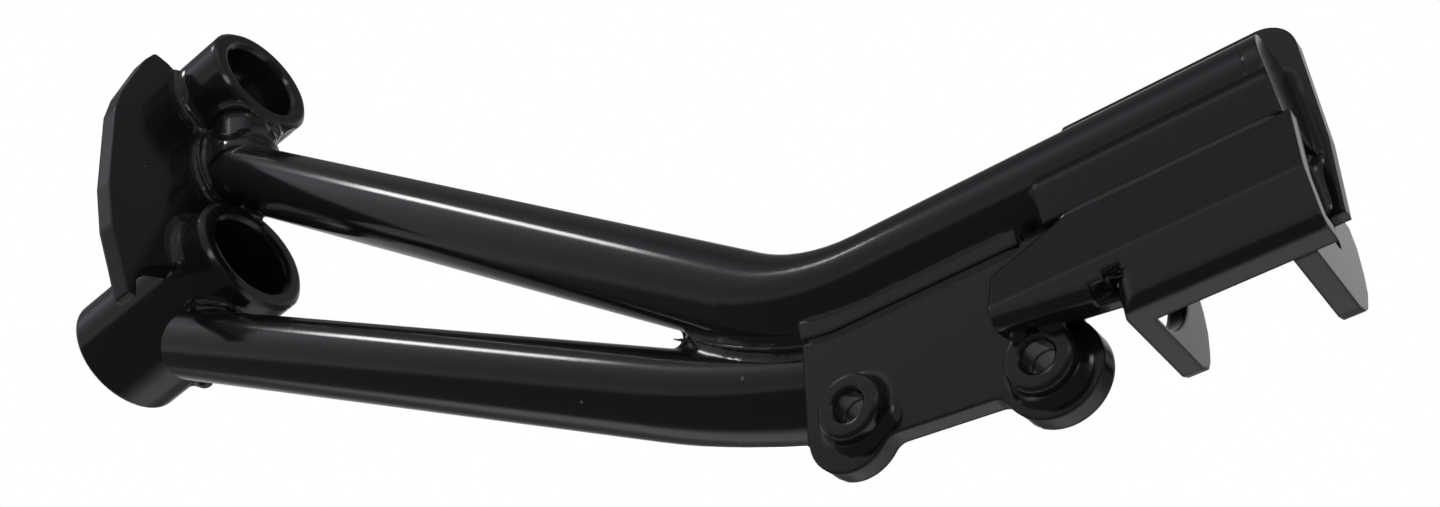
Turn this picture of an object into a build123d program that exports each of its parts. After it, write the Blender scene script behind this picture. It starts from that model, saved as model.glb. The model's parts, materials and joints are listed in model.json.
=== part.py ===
import math
import os

from build123d import *

os.makedirs("parts", exist_ok=True)

# Row frame, in millimetres: the origin is the middle of the upper boss bore.
# +X runs along the straight end of the arm, +Z is up, +Y is the side the foot peg stands out on.

# Bosses, side by side in the XZ plane, leaning back from +X by boss_tilt
boss_tilt = 11.0
boss_od = 35.5
boss_bore = 24.5
boss_rim = 1.2
boss_pitch = 71.3
boss_stagger = 6.2
upper_boss_length = 17.0
lower_boss_length = 52.0

# Web plate square to the bosses
web_thickness = 5.0
web_reach = 38.5
web_back = 13.0
web_peak = 6.5

# Tubes
tube_od = 19.0
tube_wall = 2.0
upper_slope = 37.25
upper_drop = 24.95
run_height = -174.0
bend_radius = 46.0
lower_slope = 27.6
lower_drop = 94.4
lower_bend_start = 150.0
lower_bend_radius = 200.0
lower_bend_turn = 13.0
lower_yaw = 3.6
lower_front = 3.0

# Saddle stub between the upper boss and the upper tube
saddle_od = 17.0

# Sheet and plate parts at the end of the arm
sheet = 3.6
wall_sheet = 3.0
lug_thickness = 4.0
lug_front = 5.5
lug_left = 187.9
lug_right = 240.5
lug_top = -184.6
lug_waist = -210.0
lobe_radii = (8.4, 9.2)
lobe_1 = (196.3, -205.7)
lobe_2 = (234.4, -210.5)
nut_1 = (198.7, -204.0)
nut_2 = (234.1, -210.2)
nut_od = 12.5
nut_bore = 6.0
nut_height = 4.4
gusset_thickness = 4.0
gusset_left = 152.0
gusset_right = 192.0
gusset_depth = 11.5
tongue_left = 229.6
tongue_bottom = -205.0
tongue_slope = 8.0
fold_front = 14.9
fold_radius = 2.4
crease_height = -201.5
side_left = 250.3
side_right = 283.0
side_top = -185.4
side_top_front = 8.2
side_bottom = -212.4
relief = 3.2
back_thickness = 3.0
back_top = -152.2
back_left = 238.6
back_bottom = -192.0
back_corner = 6.0
ear_gap = 22.1
pin_d = 5.0
pin_y = 10.6
pin_z = -197.6
ear_window_radius = 35.0
ear_window_centre = (-19.1, -180.6)
ear_window_rim = 0.9
ear_window_top = -190.5
front_bow = [(9.0, 0), (12.2, 1.4), (14.1, 3.6), (15.8, 6.5), (18.2, 11.7), (19.4, 16.5), (19.6, 20.4)]
rear_bow = [(10.0, 0), (13.6, 1.3), (16.4, 3.3), (21.6, 9.2), (25.1, 15.2), (28.2, 22.5)]
rear_ear_top = -185.4
cap_outer = 281.9
cap_thickness = 3.0
cap_top = -164.5

# Weld beads
bead = 2.0
nut_bead = 0.8
end_bead = 1.8
lug_bead = 0.6

boss_r = boss_od / 2
tube_r = tube_od / 2
tilt = math.radians(boss_tilt)
axis_dir = Vector(math.cos(tilt), 0, math.sin(tilt))
rise_dir = Vector(-math.sin(tilt), 0, math.cos(tilt))


def boss_point(along, rise, y=0.0):
    """Point at a distance along the boss axis and a height square to it."""
    return axis_dir * along + rise_dir * rise + Vector(0, y, 0)


def boss_plane(along, rise=0.0):
    return Plane(origin=boss_point(along, rise), x_dir=(0, 1, 0), z_dir=axis_dir)


def disc(plane, radius, length):
    """Cylinder from the plane along its normal."""
    return extrude(plane * Circle(radius), length)


def ring(plane, outer, inner, length):
    return extrude(plane * (Circle(outer) - Circle(inner)), length)


def rod(start, direction, radius, length):
    return disc(Plane(origin=start, z_dir=direction), radius, length)


def side_plate_face(points, y):
    """Closed outline in X and Z, drawn at a given Y."""
    return Plane(origin=(0, y, 0), x_dir=(1, 0, 0), z_dir=(0, -1, 0)) * make_face(Polyline(*points, close=True))


def largest(shape):
    """The biggest solid of a cut, with the slivers left out."""
    return max(shape.solids(), key=lambda s: s.volume)


def rounded(sketch, corners, radius):
    """Rounds the corners of a sketch that lie nearest the given points."""
    for corner in corners:
        vertex = min(sketch.vertices(), key=lambda v: (v.X - corner[0]) ** 2 + (v.Y - corner[1]) ** 2)
        sketch = fillet(vertex, radius)
    return sketch


def rims_at(body, centre):
    """Circular edges whose centre is the given point."""
    circles = [e for e in body.edges() if e.geom_type == GeomType.CIRCLE]
    return [e for e in circles if (e.arc_center - centre).length < 0.1]


# Bosses
upper_face = upper_boss_length / 2
lower_face = upper_face - boss_stagger
lower_start = lower_face - lower_boss_length


def boss(start, rise, length):
    body = ring(boss_plane(start, rise), boss_r, boss_bore / 2, length)
    return chamfer(rims_at(body, boss_point(start + length, rise)), boss_rim)


upper_boss = boss(-upper_boss_length / 2, 0, upper_boss_length)
lower_boss = boss(lower_start, -boss_pitch, lower_boss_length)
lower_boss = chamfer(rims_at(lower_boss, boss_point(lower_start, -boss_pitch)), boss_rim / 2)
upper_boss_solid = disc(boss_plane(-upper_boss_length / 2), boss_r, upper_boss_length)
lower_boss_solid = disc(boss_plane(lower_start, -boss_pitch), boss_r, lower_boss_length)

# Web plate: its front face carries the upper boss, and the lower boss passes through it
web_front = -upper_boss_length / 2
web_outline = [
    (-boss_r + 3, 2.0),
    (-web_reach * 0.55, web_peak - 1.0),
    (-web_reach * 0.67, web_peak),
    (-web_reach * 0.76, 0.5),
    (-web_reach * 0.95, -20.5),
    (-web_reach, -30.0),
    (-web_reach - 0.6, -boss_pitch * 0.85),
    (-web_reach + 1.0, -boss_pitch * 1.07),
    (-web_reach + 4.5, -boss_pitch * 1.25),
    (-web_reach + 6.6, -boss_pitch * 1.37),
    (-web_reach + 9.2, -boss_pitch * 1.37),
    (-web_reach + 9.0, -boss_pitch * 1.29),
    (-web_reach + 11.5, -boss_pitch * 1.215),
    (-web_reach + 15.0, -boss_pitch * 1.16),
    (-boss_r + 3, -boss_pitch * 1.1),
    (0, -boss_pitch),
    (web_back, -boss_pitch),
    (web_back, -6.0),
    (0, 0),
]
web_sketch = make_face(Polyline(*web_outline, close=True)) + Circle(boss_r - 1.5)
web_sketch = web_sketch - Circle(boss_bore / 2)
web_sketch = web_sketch - Pos(0, -boss_pitch) * Circle(boss_r)
web_sketch = rounded(web_sketch, [web_outline[2]], 2.0)
web_sketch = rounded(web_sketch, [web_outline[4], web_outline[7]], 8.0)
web_plate = largest(extrude(boss_plane(web_front - web_thickness) * web_sketch, web_thickness))

# Upper tube: straight from the saddle to the bend, then level to the end cap
up = math.radians(upper_slope)
foot = -upper_drop / math.cos(up)


def upper_axis(x):
    return foot - math.tan(up) * x


bend_x = (foot - run_height) / math.tan(up)
end_inner = side_left + sheet + ear_gap
tube_start = -18.0
upper_path = FilletPolyline(
    (tube_start, 0, upper_axis(tube_start)),
    (bend_x, 0, run_height),
    (cap_outer - cap_thickness, 0, run_height),
    radius=bend_radius,
)


def swept(path, radius):
    return sweep(Plane(origin=path @ 0, z_dir=path % 0) * Circle(radius), path=path)


upper_tube_solid = swept(upper_path, tube_r)
behind_web = extrude(boss_plane(web_front) * Rectangle(200, 500), -200)
upper_tube_solid = upper_tube_solid - behind_web
upper_tube = largest(upper_tube_solid - swept(upper_path, tube_r - tube_wall) - upper_boss_solid - lower_boss_solid)

# Saddle stub: a short tube square to the upper boss, cut to the boss above and the tube below
saddle_plane = Plane(origin=boss_point(0, 0), x_dir=(0, 1, 0), z_dir=rise_dir * -1)
saddle = extrude(saddle_plane * (Circle(saddle_od / 2) - Circle(saddle_od / 2 - tube_wall)), 60)
saddle_stub = largest(saddle - upper_boss_solid - upper_tube_solid - lower_boss_solid)
saddle_solid = disc(saddle_plane, saddle_od / 2, 36) - upper_boss_solid

# Lower tube: straight, then a gentle upward sweep, and angled slightly towards +Y
down = math.radians(lower_slope)


def lower_axis(x):
    return -lower_drop - math.tan(down) * x


turn = math.radians(lower_bend_turn)
lower_start_point = Vector(0.4, -lower_front, lower_axis(0.4))
lower_knee = Vector(lower_bend_start, -lower_front, lower_axis(lower_bend_start))
heading = Vector(math.cos(down), 0, -math.sin(down))
flat = down - turn
arc_middle_angle = down - turn / 2
chord = 2 * lower_bend_radius * math.sin(turn / 2)
half_chord = 2 * lower_bend_radius * math.sin(turn / 4)
quarter_angle = down - turn / 4
arc_end = lower_knee + Vector(math.cos(arc_middle_angle), 0, -math.sin(arc_middle_angle)) * chord
arc_middle = lower_knee + Vector(math.cos(quarter_angle), 0, -math.sin(quarter_angle)) * half_chord
tail = arc_end + Vector(math.cos(flat), 0, -math.sin(flat)) * 6
lower_path = Wire([
    Edge.make_line(lower_start_point, lower_knee),
    Edge.make_three_point_arc(lower_knee, arc_middle, arc_end),
    Edge.make_line(arc_end, tail),
])
yaw_axis = Axis((15, -lower_front, 0), (0, 0, 1))
lower_tube_solid = swept(lower_path, tube_r).rotate(yaw_axis, lower_yaw)
lower_tube_hollow = swept(lower_path, tube_r - tube_wall).rotate(yaw_axis, lower_yaw)
lower_tube = largest(lower_tube_solid - lower_tube_hollow - lower_boss_solid - upper_tube_solid)

# Lug plate under the tubes, with two rounded lugs that carry the weld nuts
lug_2_shoulder = lobe_2[1] + 7.0
lug_outline = [
    (lug_left + 0.9, lug_top),
    (lug_right, lug_top),
    (lug_right, lug_2_shoulder),
    (lobe_2[0], lobe_2[1]),
    (lobe_2[0] - 6, lug_waist - 2.4),
    (lobe_1[0] + 6, lug_waist),
    (lobe_1[0], lobe_1[1]),
    (lug_left - 0.3, lobe_1[1]),
]
lug_sketch = make_face(Polyline(*lug_outline, close=True))
for centre, lobe_radius in zip((lobe_1, lobe_2), lobe_radii):
    lug_sketch = lug_sketch + Pos(*centre) * Circle(lobe_radius)
corner_1 = (lobe_1[0] + 7.2, lug_waist - 0.2)
corner_2 = (lobe_2[0] - 8.2, lug_waist - 2.1)
lug_sketch = rounded(lug_sketch, [corner_1, corner_2], 3.0)
for centre in (nut_1, nut_2):
    lug_sketch = lug_sketch - Pos(*centre) * Circle(nut_bore / 2)
lug_plane = Plane(origin=(0, -lug_front + lug_thickness, 0), x_dir=(1, 0, 0), z_dir=(0, -1, 0))
lug_plate = largest(extrude(lug_plane * lug_sketch, lug_thickness) - upper_tube_solid - lower_tube_solid)
lug_face = Plane(origin=(0, -lug_front, 0), x_dir=(1, 0, 0), z_dir=(0, -1, 0))


def weld_nut(centre):
    seat = lug_face * Pos(*centre)
    body = extrude(seat * (Circle(nut_od / 2) - Circle(nut_bore / 2)), nut_height)
    return chamfer(rims_at(body, Vector(centre[0], -lug_front - nut_height, centre[1])), 0.6)


def nut_blank(centre, clearance=0.0):
    return disc(lug_face * Pos(*centre), nut_od / 2 + clearance, nut_height + clearance)


front_nut = weld_nut(nut_1)
rear_nut = weld_nut(nut_2)

# Crotch gusset between the two tubes ahead of the bend
gusset_mid = (gusset_left + gusset_right) / 2
gusset_points = [
    (gusset_left, upper_axis(gusset_left) - tube_r / 2),
    (gusset_right, run_height),
    (gusset_right, run_height - 1.5 * tube_r),
    (gusset_mid - tube_r * 0.6, lower_axis(gusset_mid - tube_r * 0.6) + tube_r / 3),
    (gusset_left + tube_r * 0.9, lower_axis(gusset_left + tube_r * 0.9) + gusset_depth),
]
gusset_slab = extrude(side_plate_face(gusset_points, gusset_thickness * 0.75), gusset_thickness)
crotch_gusset = largest(gusset_slab - upper_tube_solid - lower_tube_solid - lug_plate)


# Side plate: a sheet folded under at its foot and creased back to lie against the tube
def yz_plane(x):
    return Plane(origin=(x, 0, 0), x_dir=(0, 1, 0), z_dir=(1, 0, 0))


def fold_face(low, high):
    """Section of the folded foot in Y and Z, up to a given height."""
    foot_end = -fold_front + fold_radius + sheet
    inner = -fold_front + wall_sheet
    points = [(-fold_front, high), (-fold_front, low), (foot_end, low), (foot_end, low + wall_sheet)]
    points += [(inner, low + wall_sheet), (inner, high)]
    face = make_face(Polyline(*points, close=True))
    return rounded(face, [(-fold_front, low)], fold_radius)


lean_points = [
    (-fold_front, crease_height - 0.5),
    (-fold_front, crease_height),
    (-side_top_front, side_top),
    (-side_top_front + wall_sheet * 1.1, side_top),
    (-fold_front + wall_sheet, crease_height - 0.5),
]
lean_face = make_face(Polyline(*lean_points, close=True))
tongue_top = crease_height + 8.0
lean_outline = [
    (tongue_left, crease_height - 0.5),
    (tongue_left + 0.3, tongue_top),
    (tongue_left + 14.5, side_top),
    (side_right, side_top),
    (side_right, crease_height - 0.5),
]
lean = extrude(yz_plane(tongue_left) * lean_face, side_right - tongue_left)
lean = lean & extrude(side_plate_face(lean_outline, 0), fold_front + 1)
wall = extrude(yz_plane(side_left) * fold_face(side_bottom, crease_height - 0.5), side_right - side_left)

slope = math.radians(tongue_slope)
tongue_dir = Vector(math.cos(slope), 0, -math.sin(slope))
tongue_plane = Plane(origin=(tongue_left - 1, 0, tongue_bottom), x_dir=(0, 1, 0), z_dir=tongue_dir)
tongue = extrude(tongue_plane * fold_face(0, 14), side_left - tongue_left + 6)
tongue_outline = [
    (tongue_left, crease_height - 0.5),
    (tongue_left, side_bottom),
    (side_left + 1.0, side_bottom),
    (side_left + 1.0, crease_height - 0.5),
]
tongue = tongue & extrude(side_plate_face(tongue_outline, 0), fold_front + 1)
side_plate = lean + wall + tongue

# Ears: plates square to +X. The front one is folded back from the side plate, with an opening beside it
ear_front = -fold_front + wall_sheet


def ear_face(bow):
    """Ear outline in Y and Z, coped under the tube. The bow lists heights above the bottom edge."""
    points = [(ear_front, crease_height), (ear_front, side_bottom)]
    points += [(y, side_bottom + rise) for y, rise in bow]
    points += [(bow[-1][0], rear_ear_top), (tube_r, rear_ear_top), (tube_r * 0.6, run_height)]
    points += [(-tube_r * 0.6, run_height - tube_r * 0.6), (-side_top_front + wall_sheet * 0.6, side_top)]
    return make_face(Polyline(*points, close=True))


def ear_slab(x, face, thickness=sheet):
    return extrude(yz_plane(x) * face, thickness)


window_low = side_bottom + ear_window_rim
window_box = [
    (ear_front + 0.6, ear_window_top),
    (ear_front + 0.6, window_low),
    (tube_r + 6, window_low),
    (tube_r + 6, ear_window_top),
]
window = make_face(Polyline(*window_box, close=True))
window = window & (Pos(*ear_window_centre) * Circle(ear_window_radius))
front_ear = ear_slab(side_left, ear_face(front_bow) - window)

back_outline = [
    (back_left, back_bottom),
    (back_left, back_top - 3.0),
    (back_left + 3.0, back_top),
    (side_right + 2.5, back_top),
    (side_right + 1.5, back_bottom + 12),
    (side_right - 0.3, back_bottom - 3.0),
    (side_left + sheet + ear_gap + sheet, back_bottom - 3.0),
    (side_left + sheet + ear_gap + sheet, rear_ear_top),
    (end_inner, rear_ear_top),
    (end_inner, back_bottom),
]
back_sketch = make_face(Polyline(*back_outline, close=True))
back_sketch = rounded(back_sketch, [back_outline[3]], back_corner)
back_plane = Plane(origin=(0, tube_r + back_thickness, 0), x_dir=(1, 0, 0), z_dir=(0, -1, 0))
back_plate = largest(extrude(back_plane * back_sketch, back_thickness) - upper_tube_solid)

side_plate = side_plate + (front_ear - back_plate)
corner_at = Pos(side_left, -fold_front, side_bottom)
corner_tool = corner_at * Box(2 * sheet, 2 * sheet, 14)
fold_axis = Pos(side_left + sheet, -fold_front + sheet, side_bottom)
corner_tool = corner_tool - fold_axis * Cylinder(sheet, 20)
relief_at = Pos(side_left + 0.6, -fold_front + 1, side_bottom + 2.2 * relief)
relief_tool = relief_at * Box(relief, 9, relief * 0.8)
side_plate = side_plate - corner_tool - relief_tool - nut_blank(nut_2, nut_bead)
side_plate = largest(side_plate - upper_tube_solid - lug_plate)

# End cap: closes the tube flush with its outside and runs back to the back plate
cap_low = run_height - tube_r
cap_face = make_face(Polyline((0, cap_low), (tube_r, cap_low), (tube_r, cap_top), (0, cap_top), close=True))
cap_face = cap_face + Pos(0, run_height) * Circle(tube_r)
end_cap = ear_slab(cap_outer - cap_thickness, cap_face, cap_thickness)

rear_face = ear_face(rear_bow) - Pos(pin_y, pin_z) * Circle(pin_d / 2) - Pos(0, run_height) * Circle(tube_r)
rear_ear = largest(ear_slab(end_inner, rear_face) - back_plate - side_plate - end_cap)

# Weld beads: each fills the corner between its neighbours and stops at their faces
upper_fat = swept(upper_path, tube_r + bead)
lower_fat = swept(lower_path, tube_r + bead).rotate(yaw_axis, lower_yaw)
upper_boss_fat = disc(boss_plane(-upper_boss_length / 2), boss_r + bead, upper_boss_length)
lower_boss_fat = disc(boss_plane(lower_start, -boss_pitch), boss_r + bead, lower_boss_length)
saddle_fat = disc(saddle_plane, saddle_od / 2 + bead, 36)
ahead_of_web = extrude(boss_plane(web_front) * Rectangle(200, 500), 100)
steel = [upper_boss_solid, lower_boss_solid, upper_tube_solid, lower_tube_solid, saddle_solid]
steel += [web_plate, lug_plate, crotch_gusset, side_plate, back_plate, rear_ear, end_cap]
steel += [nut_blank(nut_1), nut_blank(nut_2)]


def weld(shape, *earlier):
    """What is left of a bead's envelope once every neighbour is cut from it."""
    for other in steel + list(earlier):
        shape = shape - other
    runs = [s for s in shape.solids() if s.volume > 6]
    return runs[0] if len(runs) == 1 else Compound(children=runs)


def web_bead(rise):
    """Fillet bead round a boss on the front of the web plate."""
    base = boss_plane(web_front, rise)
    cone = loft([base * Circle(boss_r + bead), base.offset(bead) * Circle(boss_r + 0.15)])
    return cone & extrude(boss_plane(web_front) * web_sketch, bead)


def nut_ring(centre):
    base = lug_face * Pos(*centre)
    top = lug_face.offset(nut_bead) * Pos(*centre)
    return loft([base * Circle(nut_od / 2 + nut_bead), top * Circle(nut_od / 2 + 0.1)])


def block(low, high):
    middle = [(a + b) / 2 for a, b in zip(low, high)]
    return Pos(*middle) * Box(*[b - a for a, b in zip(low, high)])


upper_web_weld = weld(web_bead(0))
lower_web_weld = weld(web_bead(-boss_pitch))
arm_slab = extrude(boss_plane(web_front) * Rectangle(60, 300), bead)
arm_web_weld = weld(upper_fat & arm_slab, upper_web_weld, lower_web_weld)
saddle_top_weld = weld(saddle_fat & upper_boss_fat, upper_web_weld, arm_web_weld)
saddle_foot_weld = weld((saddle_fat & upper_fat) & ahead_of_web, upper_web_weld, arm_web_weld, saddle_top_weld)
brace_foot_weld = weld(lower_fat & lower_boss_fat, lower_web_weld)
brace_tip_weld = weld(lower_fat & upper_fat)
lug_low = (lug_left + 1, -lug_front - lug_bead, lug_top - lug_bead)
lug_high = (tongue_left + 4, -lug_front + lug_thickness, run_height)
lug_weld = weld(swept(upper_path, tube_r + 1.8 * bead) & block(lug_low, lug_high), brace_tip_weld)
side_fill = [
    (-side_top_front - 0.1, side_top),
    (-tube_r + 0.5, run_height - 5.0),
    (-tube_r + 0.3, run_height - 2.4),
    (0, run_height),
    (0, run_height - tube_r),
    (-side_top_front + wall_sheet, side_top),
]
side_fill_face = make_face(Polyline(*side_fill, close=True))
side_top_weld = weld(ear_slab(tongue_left + 10, side_fill_face, cap_outer - tongue_left - 10), lug_weld)
end_low = Vector(end_inner + sheet, ear_front, side_bottom + wall_sheet)
end_crease = Vector(end_inner + sheet, ear_front, crease_height)
end_high = Vector(end_inner + sheet, -side_top_front + wall_sheet, side_top - end_bead)
end_run = rod(end_low, end_crease - end_low, end_bead, (end_crease - end_low).length)
end_run = end_run + rod(end_crease, end_high - end_crease, end_bead, (end_high - end_crease).length)
side_end_weld = weld(end_run)
cap_corner = Vector(cap_outer, tube_r, run_height - tube_r)
tube_end_weld = weld(rod(cap_corner, Vector(0, 0, 1), end_bead / 2, cap_top - run_height + tube_r))
back_strip = block((back_left, tube_r - bead, run_height), (cap_outer - cap_thickness, tube_r, run_height + tube_r))
back_plate_weld = weld(swept(upper_path, tube_r + 1.5 * bead) & back_strip, tube_end_weld)
front_nut_weld = weld(nut_ring(nut_1))
rear_nut_weld = weld(nut_ring(nut_2))

solids = {
    "upper_boss": upper_boss,
    "lower_boss": lower_boss,
    "web_plate": web_plate,
    "upper_tube": upper_tube,
    "saddle_stub": saddle_stub,
    "lower_tube": lower_tube,
    "lug_plate": lug_plate,
    "front_weld_nut": front_nut,
    "rear_weld_nut": rear_nut,
    "crotch_gusset": crotch_gusset,
    "side_plate": side_plate,
    "back_plate": back_plate,
    "rear_ear": rear_ear,
    "end_cap": end_cap,
    "upper_web_weld": upper_web_weld,
    "lower_web_weld": lower_web_weld,
    "arm_web_weld": arm_web_weld,
    "saddle_top_weld": saddle_top_weld,
    "saddle_foot_weld": saddle_foot_weld,
    "brace_foot_weld": brace_foot_weld,
    "brace_tip_weld": brace_tip_weld,
    "lug_weld": lug_weld,
    "side_top_weld": side_top_weld,
    "side_end_weld": side_end_weld,
    "tube_end_weld": tube_end_weld,
    "back_plate_weld": back_plate_weld,
    "front_nut_weld": front_nut_weld,
    "rear_nut_weld": rear_nut_weld,
}

for name, solid in solids.items():
    export_step(solid, f"parts/{name}.step")
    box = solid.bounding_box()
    size = [round(v, 1) for v in (box.min.X, box.min.Y, box.min.Z, box.max.X, box.max.Y, box.max.Z)]
    print(name, round(solid.volume), size)
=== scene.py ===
import json
import math

import bmesh
import bpy
from mathutils import Matrix, Vector
from mathutils.bvhtree import BVHTree


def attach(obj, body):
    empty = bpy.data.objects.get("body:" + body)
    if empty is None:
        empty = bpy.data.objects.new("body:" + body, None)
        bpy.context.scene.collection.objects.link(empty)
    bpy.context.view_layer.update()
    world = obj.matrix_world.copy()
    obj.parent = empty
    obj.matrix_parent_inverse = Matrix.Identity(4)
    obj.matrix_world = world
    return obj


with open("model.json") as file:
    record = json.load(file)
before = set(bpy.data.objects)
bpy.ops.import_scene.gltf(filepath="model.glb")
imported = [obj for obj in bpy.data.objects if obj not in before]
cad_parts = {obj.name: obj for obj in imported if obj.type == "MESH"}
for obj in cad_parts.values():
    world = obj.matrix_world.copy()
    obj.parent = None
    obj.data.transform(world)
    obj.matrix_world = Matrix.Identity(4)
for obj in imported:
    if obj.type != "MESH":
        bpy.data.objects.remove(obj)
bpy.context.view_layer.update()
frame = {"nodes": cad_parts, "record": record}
nodes = frame["nodes"]
scene = bpy.context.scene
mm = 0.001
print("frame loaded", len(nodes))


# Shader helpers
def newMaterial(name):
    mat = bpy.data.materials.new(name)
    mat.use_nodes = True
    mat.node_tree.nodes.clear()
    return mat


def addNode(tree, kind, **values):
    node = tree.nodes.new(kind)
    for key, value in values.items():
        setattr(node, key, value)
    return node


def mathNode(tree, operation, a, b):
    node = addNode(tree, "ShaderNodeMath", operation=operation)
    for index, value in enumerate((a, b)):
        if isinstance(value, (int, float)):
            node.inputs[index].default_value = value
        else:
            tree.links.new(value, node.inputs[index])
    return node.outputs[0]


def rampNode(tree, value, start, end):
    node = addNode(tree, "ShaderNodeMapRange")
    node.inputs["From Min"].default_value = start
    node.inputs["From Max"].default_value = end
    tree.links.new(value, node.inputs["Value"])
    return node.outputs["Result"]


def newGroup(name, inputs, outputs):
    group = bpy.data.node_groups.new(name, "ShaderNodeTree")
    for label, default in inputs.items():
        socket = group.interface.new_socket(label, in_out="INPUT", socket_type="NodeSocketFloat")
        socket.default_value = default
    for label, kind in outputs.items():
        group.interface.new_socket(label, in_out="OUTPUT", socket_type=kind)
    return group, group.nodes.new("NodeGroupInput"), group.nodes.new("NodeGroupOutput")


# A bump for each pair of height and depth, laid one over the other
def stackBumps(tree, normal, layers):
    for height, depth in layers:
        bump = addNode(tree, "ShaderNodeBump")
        bump.inputs["Strength"].default_value = 1.0
        tree.links.new(height, bump.inputs["Height"])
        tree.links.new(depth, bump.inputs["Distance"])
        tree.links.new(normal, bump.inputs["Normal"])
        normal = bump.outputs["Normal"]
    return normal


# Thick gloss paint: softened corners, slow sags in the film, fine orange peel and a few dust nibs
skinInputs = {
    "edgeRadius": 0.6 * mm,
    "sagScale": 45.0,
    "sagDepth": 0.06 * mm,
    "peelScale": 900.0,
    "peelDepth": 0.006 * mm,
    "nibDepth": 0.1 * mm,
}
skinShape = {
    "bevelSamples": 6,
    "sagDetail": 1.5,
    "peelDetail": 1.0,
    "nibScale": 70.0,
    "nibSize": 0.03,
    "nibShare": 0.4,
}


def makePaintSkin():
    outputs = {"normal": "NodeSocketVector", "nibs": "NodeSocketFloat"}
    group, given, out = newGroup("paintSkin", skinInputs, outputs)
    coords = addNode(group, "ShaderNodeTexCoord")
    bevel = addNode(group, "ShaderNodeBevel", samples=skinShape["bevelSamples"])
    group.links.new(given.outputs["edgeRadius"], bevel.inputs["Radius"])
    sag = addNode(group, "ShaderNodeTexNoise")
    sag.inputs["Detail"].default_value = skinShape["sagDetail"]
    group.links.new(given.outputs["sagScale"], sag.inputs["Scale"])
    peel = addNode(group, "ShaderNodeTexNoise")
    peel.inputs["Detail"].default_value = skinShape["peelDetail"]
    group.links.new(given.outputs["peelScale"], peel.inputs["Scale"])
    cells = addNode(group, "ShaderNodeTexVoronoi")
    cells.inputs["Scale"].default_value = skinShape["nibScale"]
    for texture in (sag, peel, cells):
        group.links.new(coords.outputs["Object"], texture.inputs["Vector"])
    chosen = addNode(group, "ShaderNodeSeparateColor")
    group.links.new(cells.outputs["Color"], chosen.inputs["Color"])
    near = mathNode(group, "LESS_THAN", cells.outputs["Distance"], skinShape["nibSize"])
    some = mathNode(group, "LESS_THAN", chosen.outputs["Red"], skinShape["nibShare"])
    nibs = mathNode(group, "MULTIPLY", near, some)
    normal = stackBumps(group, bevel.outputs["Normal"], [
        (sag.outputs["Fac"], given.outputs["sagDepth"]),
        (peel.outputs["Fac"], given.outputs["peelDepth"]),
        (nibs, given.outputs["nibDepth"]),
    ])
    group.links.new(normal, out.inputs["normal"])
    group.links.new(nibs, out.inputs["nibs"])
    return group


# Lumps and ripples left by the torch in a painted weld
rippleInputs = {
    "rippleScale": 420.0,
    "rippleDepth": 0.12 * mm,
    "lumpScale": 160.0,
    "lumpDepth": 0.4 * mm,
}
rippleShape = {"bevelSamples": 6, "bevelRadius": 0.8 * mm, "lumpDetail": 2.0}


def makeWeldRipple():
    group, given, out = newGroup("weldRipple", rippleInputs, {"normal": "NodeSocketVector"})
    coords = addNode(group, "ShaderNodeTexCoord")
    bevel = addNode(group, "ShaderNodeBevel", samples=rippleShape["bevelSamples"])
    bevel.inputs["Radius"].default_value = rippleShape["bevelRadius"]
    lump = addNode(group, "ShaderNodeTexNoise")
    lump.inputs["Detail"].default_value = rippleShape["lumpDetail"]
    group.links.new(given.outputs["lumpScale"], lump.inputs["Scale"])
    wave = addNode(group, "ShaderNodeTexVoronoi", feature="SMOOTH_F1")
    group.links.new(given.outputs["rippleScale"], wave.inputs["Scale"])
    for texture in (lump, wave):
        group.links.new(coords.outputs["Object"], texture.inputs["Vector"])
    normal = stackBumps(group, bevel.outputs["Normal"], [
        (lump.outputs["Fac"], given.outputs["lumpDepth"]),
        (wave.outputs["Distance"], given.outputs["rippleDepth"]),
    ])
    group.links.new(normal, out.inputs["normal"])
    return group


# Gloss black, a little thicker or rougher from piece to piece
ink = (0.0105, 0.0108, 0.0118, 1.0)
dustColour = (0.12, 0.12, 0.12, 1.0)
paintIor = 1.5


def blackPaint(name, group, roughness, **settings):
    mat = newMaterial(name)
    tree = mat.node_tree
    out = addNode(tree, "ShaderNodeOutputMaterial")
    shader = addNode(tree, "ShaderNodeBsdfPrincipled")
    shader.inputs["Base Color"].default_value = ink
    shader.inputs["Roughness"].default_value = roughness
    shader.inputs["IOR"].default_value = paintIor
    film = addNode(tree, "ShaderNodeGroup", node_tree=group)
    for label, value in settings.items():
        film.inputs[label].default_value = value
    if "nibs" in film.outputs:
        dust = addNode(tree, "ShaderNodeMix", data_type="RGBA")
        dust.inputs["A"].default_value = ink
        dust.inputs["B"].default_value = dustColour
        tree.links.new(film.outputs["nibs"], dust.inputs["Factor"])
        tree.links.new(dust.outputs["Result"], shader.inputs["Base Color"])
    tree.links.new(film.outputs["normal"], shader.inputs["Normal"])
    tree.links.new(shader.outputs["BSDF"], out.inputs["Surface"])
    return mat


paintSkin = makePaintSkin()
weldRipple = makeWeldRipple()
tubePaint = blackPaint("tubePaint", paintSkin, roughness=0.13, sagScale=22.0, sagDepth=0.1 * mm)
bossPaint = blackPaint(
    "bossPaint", paintSkin, roughness=0.12, sagScale=40.0, sagDepth=0.06 * mm, edgeRadius=1.2 * mm,
)
platePaint = blackPaint(
    "platePaint", paintSkin, roughness=0.14, sagScale=30.0, sagDepth=0.22 * mm, edgeRadius=1.1 * mm,
)
nutPaint = blackPaint(
    "nutPaint", paintSkin, roughness=0.16, sagScale=140.0, sagDepth=0.3 * mm, edgeRadius=0.8 * mm,
)
weldPaint = blackPaint("weldPaint", weldRipple, roughness=0.1)
filletPaint = blackPaint(
    "filletPaint", weldRipple, roughness=0.12, rippleDepth=0.03 * mm, lumpScale=120.0, lumpDepth=0.3 * mm,
)
print("materials made")

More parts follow.
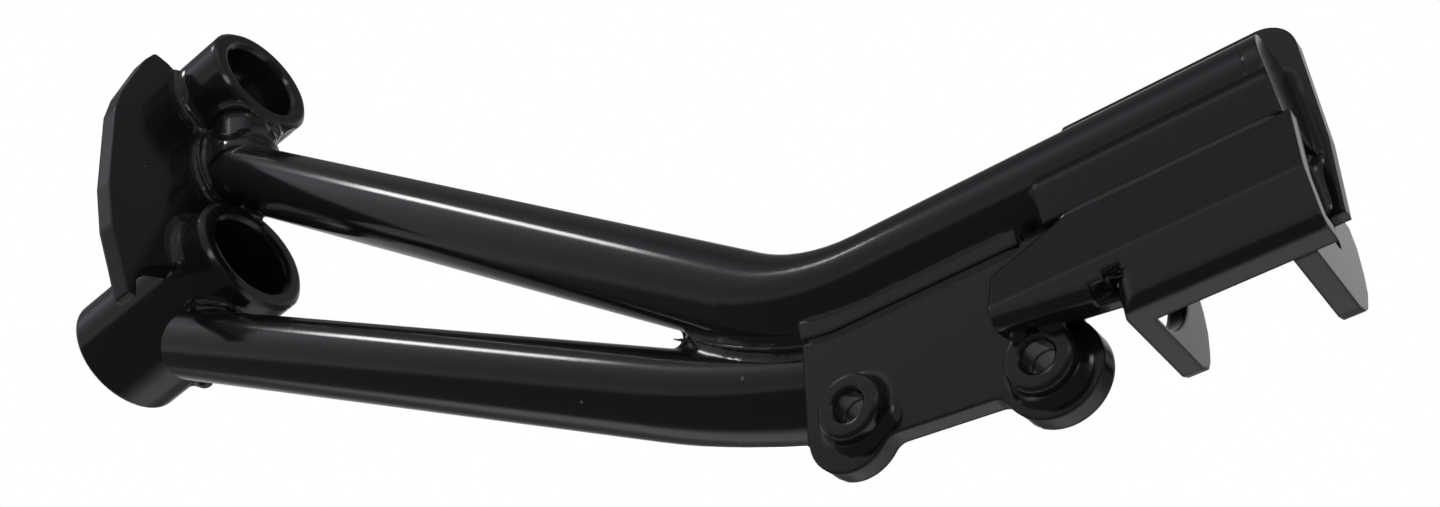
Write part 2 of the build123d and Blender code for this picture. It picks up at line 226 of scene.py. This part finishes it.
# The two long welds here are flat, so they take the plates' paint; the other welds are beads
finishes = {
    "upper_tube": tubePaint,
    "lower_tube": tubePaint,
    "saddle_stub": tubePaint,
    "upper_boss": bossPaint,
    "lower_boss": bossPaint,
    "web_plate": platePaint,
    "lug_plate": platePaint,
    "side_plate": platePaint,
    "back_plate": platePaint,
    "rear_ear": platePaint,
    "end_cap": platePaint,
    "crotch_gusset": platePaint,
    "front_weld_nut": nutPaint,
    "rear_weld_nut": nutPaint,
    "lug_weld": platePaint,
    "side_top_weld": platePaint,
}

# Beads: rounded off, then swelled and lumped a little, the way thick paint leaves them
beadShape = {
    "voxel": 0.35 * mm,
    "smooth": 0.5,
    "passes": 22,
    "swell": 0.5 * mm,
    "nutSwell": 0.9 * mm,
    "lumpSize": 4.5 * mm,
    "lumpMiddle": 0.2,
}
beadLumps = bpy.data.textures.new("beadLumps", "CLOUDS")
beadLumps.noise_scale = beadShape["lumpSize"]


# Voxel remesh and relax, shared by the beads and the fillets
def addRemesh(obj, name, shape):
    remesh = obj.modifiers.new(name + "Remesh", "REMESH")
    remesh.mode = "VOXEL"
    remesh.voxel_size = shape["voxel"]
    remesh.use_smooth_shade = True
    relax = obj.modifiers.new(name + "Relax", "SMOOTH")
    relax.factor = shape["smooth"]
    relax.iterations = shape["passes"]


def softenBead(obj, swellBy):
    addRemesh(obj, "bead", beadShape)
    swell = obj.modifiers.new("beadSwell", "DISPLACE")
    swell.texture = beadLumps
    swell.texture_coords = "LOCAL"
    swell.strength = swellBy
    swell.mid_level = beadShape["lumpMiddle"]


def paintPiece(obj, finish):
    if not obj.material_slots:
        obj.data.materials.append(finish)
    for place in obj.material_slots:
        place.material = finish


for name, obj in nodes.items():
    if name.endswith("_weld") and name not in finishes:
        softenBead(obj, beadShape["nutSwell" if "nut" in name else "swell"])
    paintPiece(obj, finishes.get(name, weldPaint))
print("nodes dressed")

# Fillets: paint and weld metal smooth every inner corner, so the whole bracket is remeshed as one,
# relaxed and sunk a little, and what still stands proud of the steel is kept
filletShape = {
    "voxel": 0.7 * mm,
    "smooth": 0.5,
    "passes": 32,
    "sink": 0.1 * mm,
    "rings": 3,
    "boreClear": 1.6 * mm,
    "boreReach": 30 * mm,
}
# Weld metal built up beyond the beads: the neck under the upper boss, and a lump beside the lower one
builtUp = {
    "neckHead": (0.0, 2.5 * mm, -15.0 * mm),
    "neckFoot": (8.5 * mm, 0.0, -32.0 * mm),
    "neckHeadRadius": 8.5 * mm,
    "neckFootRadius": 9.0 * mm,
    "neckSegments": 48,
    "lumpAt": (-19.0 * mm, 15.0 * mm, -87.5 * mm),
    "lumpRadius": 3.2 * mm,
    "lumpSubdivisions": 3,
}
bores = [
    (Vector(mount["pos_m"]), Vector(mount["axis"]).normalized(), mount["dims"]["r_mm"] * mm)
    for mount in frame["record"]["mounts"]
]


# One bmesh of the evaluated objects, in world coordinates
def worldMesh(objects):
    joined = bmesh.new()
    graph = bpy.context.evaluated_depsgraph_get()
    for obj in objects:
        copy = bpy.data.meshes.new_from_object(obj.evaluated_get(graph))
        copy.transform(obj.matrix_world)
        joined.from_mesh(copy)
        bpy.data.meshes.remove(copy)
    return joined


def nearBore(point):
    for centre, axis, radius in bores:
        offset = point - centre
        along = offset.dot(axis)
        outward = (offset - axis * along).length
        if outward < radius + filletShape["boreClear"] and abs(along) < filletShape["boreReach"]:
            return True
    return False


def addBuiltUp(metal):
    head = Vector(builtUp["neckHead"])
    foot = Vector(builtUp["neckFoot"])
    lean = (head - foot).to_track_quat("Z", "Y").to_matrix().to_4x4()
    bmesh.ops.create_cone(
        metal,
        cap_ends=True,
        segments=builtUp["neckSegments"],
        depth=(head - foot).length,
        radius1=builtUp["neckFootRadius"],
        radius2=builtUp["neckHeadRadius"],
        matrix=Matrix.Translation((head + foot) / 2) @ lean,
    )
    bmesh.ops.create_icosphere(
        metal,
        subdivisions=builtUp["lumpSubdivisions"],
        radius=builtUp["lumpRadius"],
        matrix=Matrix.Translation(builtUp["lumpAt"]),
    )


# The whole bracket as one relaxed skin
def relaxedSkin(metal):
    rawMesh = bpy.data.meshes.new("filletRaw")
    metal.to_mesh(rawMesh)
    raw = bpy.data.objects.new("filletRaw", rawMesh)
    scene.collection.objects.link(raw)
    addRemesh(raw, "fillet", filletShape)
    bpy.context.view_layer.update()
    skin = worldMesh([raw])
    bpy.data.objects.remove(raw)
    skin.normal_update()
    return skin


def makePaintFillets():
    metal = worldMesh(nodes.values())
    steelFaces = BVHTree.FromBMesh(metal)
    addBuiltUp(metal)
    skin = relaxedSkin(metal)
    metal.free()
    kept = set()
    for vert in skin.verts:
        nearest, facing = steelFaces.find_nearest(vert.co)[:2]
        if (vert.co - nearest).dot(facing) > filletShape["sink"] and not nearBore(vert.co):
            kept.add(vert)
    for ringCount in range(filletShape["rings"]):
        kept.update([edge.other_vert(vert) for vert in kept for edge in vert.link_edges])
    for vert in skin.verts:
        vert.co -= vert.normal * filletShape["sink"]
    bmesh.ops.delete(skin, geom=[vert for vert in skin.verts if vert not in kept], context="VERTS")
    mesh = bpy.data.meshes.new("paintFillets")
    skin.to_mesh(mesh)
    skin.free()
    mesh.shade_smooth()
    piece = bpy.data.objects.new("paintFillets", mesh)
    scene.collection.objects.link(piece)
    paintPiece(piece, filletPaint)
    return piece


fillets = makePaintFillets()
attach(fillets, "root")
print("fillets kept", len(fillets.data.polygons))

# Floor: pale to the camera, and clear to the paint's reflections
floorSettings = {
    "size": 6.0,
    "centre": (0.1, 0.0, -0.46),
    "colour": (0.93, 0.93, 0.93, 1.0),
    "lift": 0.45,
}


def makeFloorPaper():
    mat = newMaterial("floorPaper")
    tree = mat.node_tree
    out = addNode(tree, "ShaderNodeOutputMaterial")
    path = addNode(tree, "ShaderNodeLightPath")
    paper = addNode(tree, "ShaderNodeBsdfDiffuse")
    paper.inputs["Color"].default_value = floorSettings["colour"]
    glow = addNode(tree, "ShaderNodeEmission")
    lift = mathNode(tree, "MULTIPLY", path.outputs["Is Camera Ray"], floorSettings["lift"])
    tree.links.new(lift, glow.inputs["Strength"])
    pale = addNode(tree, "ShaderNodeAddShader")
    tree.links.new(paper.outputs[0], pale.inputs[0])
    tree.links.new(glow.outputs[0], pale.inputs[1])
    clear = addNode(tree, "ShaderNodeBsdfTransparent")
    mix = addNode(tree, "ShaderNodeMixShader")
    tree.links.new(path.outputs["Is Glossy Ray"], mix.inputs[0])
    tree.links.new(pale.outputs[0], mix.inputs[1])
    tree.links.new(clear.outputs[0], mix.inputs[2])
    tree.links.new(mix.outputs[0], out.inputs["Surface"])
    return mat


bpy.ops.mesh.primitive_plane_add(size=floorSettings["size"], location=floorSettings["centre"])
floor = bpy.context.object
floor.name = "studioFloor"
paintPiece(floor, makeFloorPaper())

# Studio: white to the camera, and to everything else a ring of soft grey panels about the X axis
# Angle about X in degrees: 0 in front at -Y, 90 overhead, 180 behind, -90 underneath
studioPanels = [
    (-180, (0.12, 0.12, 0.13)),
    (-165, (0.20, 0.20, 0.21)),
    (-152, (0.60, 0.60, 0.62)),
    (-128, (0.80, 0.80, 0.83)),
    (-110, (0.32, 0.32, 0.34)),
    (-98, (0.12, 0.12, 0.13)),
    (-40, (0.08, 0.08, 0.09)),
    (-6, (0.10, 0.10, 0.11)),
    (3, (0.38, 0.38, 0.39)),
    (9, (0.42, 0.42, 0.43)),
    (18, (0.30, 0.31, 0.33)),
    (30, (0.33, 0.34, 0.36)),
    (43, (0.42, 0.43, 0.45)),
    (55, (0.58, 0.60, 0.64)),
    (66, (0.30, 0.31, 0.34)),
    (80, (0.14, 0.14, 0.15)),
    (118, (0.12, 0.12, 0.13)),
    (134, (0.56, 0.56, 0.54)),
    (148, (0.48, 0.48, 0.47)),
    (160, (0.22, 0.22, 0.22)),
    (170, (0.12, 0.12, 0.13)),
]
# Below the horizon the ring is dark right to its ends, and its panels come up only at the back
darkSide = {
    "colour": (0.09, 0.09, 0.10, 1.0),
    "horizonTop": 0.04,
    "horizonBottom": -0.01,
    "backStart": 0.08,
    "backEnd": 0.22,
}


# Colour of the ring of panels in a direction
def panelRing(tree, split):
    forward = mathNode(tree, "MULTIPLY", split.outputs["Y"], -1.0)
    angle = mathNode(tree, "ARCTAN2", split.outputs["Z"], forward)
    turn = mathNode(tree, "ADD", mathNode(tree, "DIVIDE", angle, 2 * math.pi), 0.5)
    ramp = addNode(tree, "ShaderNodeValToRGB")
    stops = ramp.color_ramp.elements
    while len(stops) < len(studioPanels):
        stops.new(0.5)
    for stop, (degrees, colour) in zip(stops, studioPanels):
        stop.position = degrees / 360 + 0.5
        stop.color = (*colour, 1.0)
    tree.links.new(turn, ramp.inputs["Fac"])
    return ramp.outputs["Color"]


def makeStudioWorld():
    world = bpy.data.worlds.new("studio")
    world.use_nodes = True
    tree = world.node_tree
    tree.nodes.clear()
    out = addNode(tree, "ShaderNodeOutputWorld")
    coords = addNode(tree, "ShaderNodeTexCoord")
    split = addNode(tree, "ShaderNodeSeparateXYZ")
    tree.links.new(coords.outputs["Generated"], split.inputs[0])
    behind = rampNode(tree, split.outputs["Y"], darkSide["backStart"], darkSide["backEnd"])
    below = rampNode(tree, split.outputs["Z"], darkSide["horizonTop"], darkSide["horizonBottom"])
    shade = mathNode(tree, "MULTIPLY", below, mathNode(tree, "SUBTRACT", 1.0, behind))
    ring = addNode(tree, "ShaderNodeMix", data_type="RGBA")
    ring.inputs["B"].default_value = darkSide["colour"]
    tree.links.new(shade, ring.inputs["Factor"])
    tree.links.new(panelRing(tree, split), ring.inputs["A"])
    panels = addNode(tree, "ShaderNodeBackground")
    tree.links.new(ring.outputs["Result"], panels.inputs["Color"])
    white = addNode(tree, "ShaderNodeBackground")
    white.inputs["Color"].default_value = (1.0, 1.0, 1.0, 1.0)
    path = addNode(tree, "ShaderNodeLightPath")
    mix = addNode(tree, "ShaderNodeMixShader")
    tree.links.new(path.outputs["Is Camera Ray"], mix.inputs[0])
    tree.links.new(panels.outputs[0], mix.inputs[1])
    tree.links.new(white.outputs[0], mix.inputs[2])
    tree.links.new(mix.outputs[0], out.inputs["Surface"])
    return world


scene.world = makeStudioWorld()

# Lamps: the strip draws the bright line along the tubes, the fills lift the two ends
lamps = {
    "keyStrip": {
        "at": (-0.405, -0.57, 0.873),
        "look": (0.12, 0.0, -0.1),
        "size": (0.28, 0.12),
        "radiance": 12.5,
    },
    "sideFill": {
        "at": (1.2, -0.9, 0.2),
        "look": (0.15, 0.0, -0.12),
        "size": (0.3, 0.3),
        "radiance": 3.0,
    },
    "backFill": {
        "at": (-0.6, 1.3, 0.4),
        "look": (0.1, 0.0, -0.1),
        "size": (0.3, 0.3),
        "radiance": 3.0,
    },
}


def addLamp(name, spec):
    data = bpy.data.lights.new(name, "AREA")
    data.shape = "RECTANGLE"
    data.size, data.size_y = spec["size"]
    data.energy = spec["radiance"] * math.pi * data.size * data.size_y
    lamp = bpy.data.objects.new(name, data)
    lamp.location = spec["at"]
    aim = Vector(spec["look"]) - Vector(spec["at"])
    lamp.rotation_euler = aim.to_track_quat("-Z", "Y").to_euler()
    scene.collection.objects.link(lamp)


for name, spec in lamps.items():
    addLamp(name, spec)
print("studio lit")

# Camera, placed by fitting the bracket's outline to the photograph
photoCamera = {
    "eye": (0.3149, -0.2184, -0.3554),
    "right": (0.7996, 0.5969, -0.0661),
    "back": (0.4376, -0.6545, -0.6166),
    "focalPixels": 1644.4,
    "photoWidth": 1440,
    "sensorWidth": 36.0,
    "clipStart": 0.01,
}


def addPhotoCamera():
    right = Vector(photoCamera["right"]).normalized()
    back = Vector(photoCamera["back"])
    back = (back - right * back.dot(right)).normalized()
    up = back.cross(right)
    data = bpy.data.cameras.new("photoCamera")
    data.sensor_fit = "HORIZONTAL"
    data.sensor_width = photoCamera["sensorWidth"]
    data.lens = photoCamera["sensorWidth"] * photoCamera["focalPixels"] / photoCamera["photoWidth"]
    data.clip_start = photoCamera["clipStart"]
    camera = bpy.data.objects.new("photoCamera", data)
    turned = Matrix((right, up, back)).transposed().to_4x4()
    camera.matrix_world = Matrix.Translation(photoCamera["eye"]) @ turned
    scene.collection.objects.link(camera)
    return camera


scene.camera = addPhotoCamera()
scene.view_settings.view_transform = "Standard"
print("camera set")
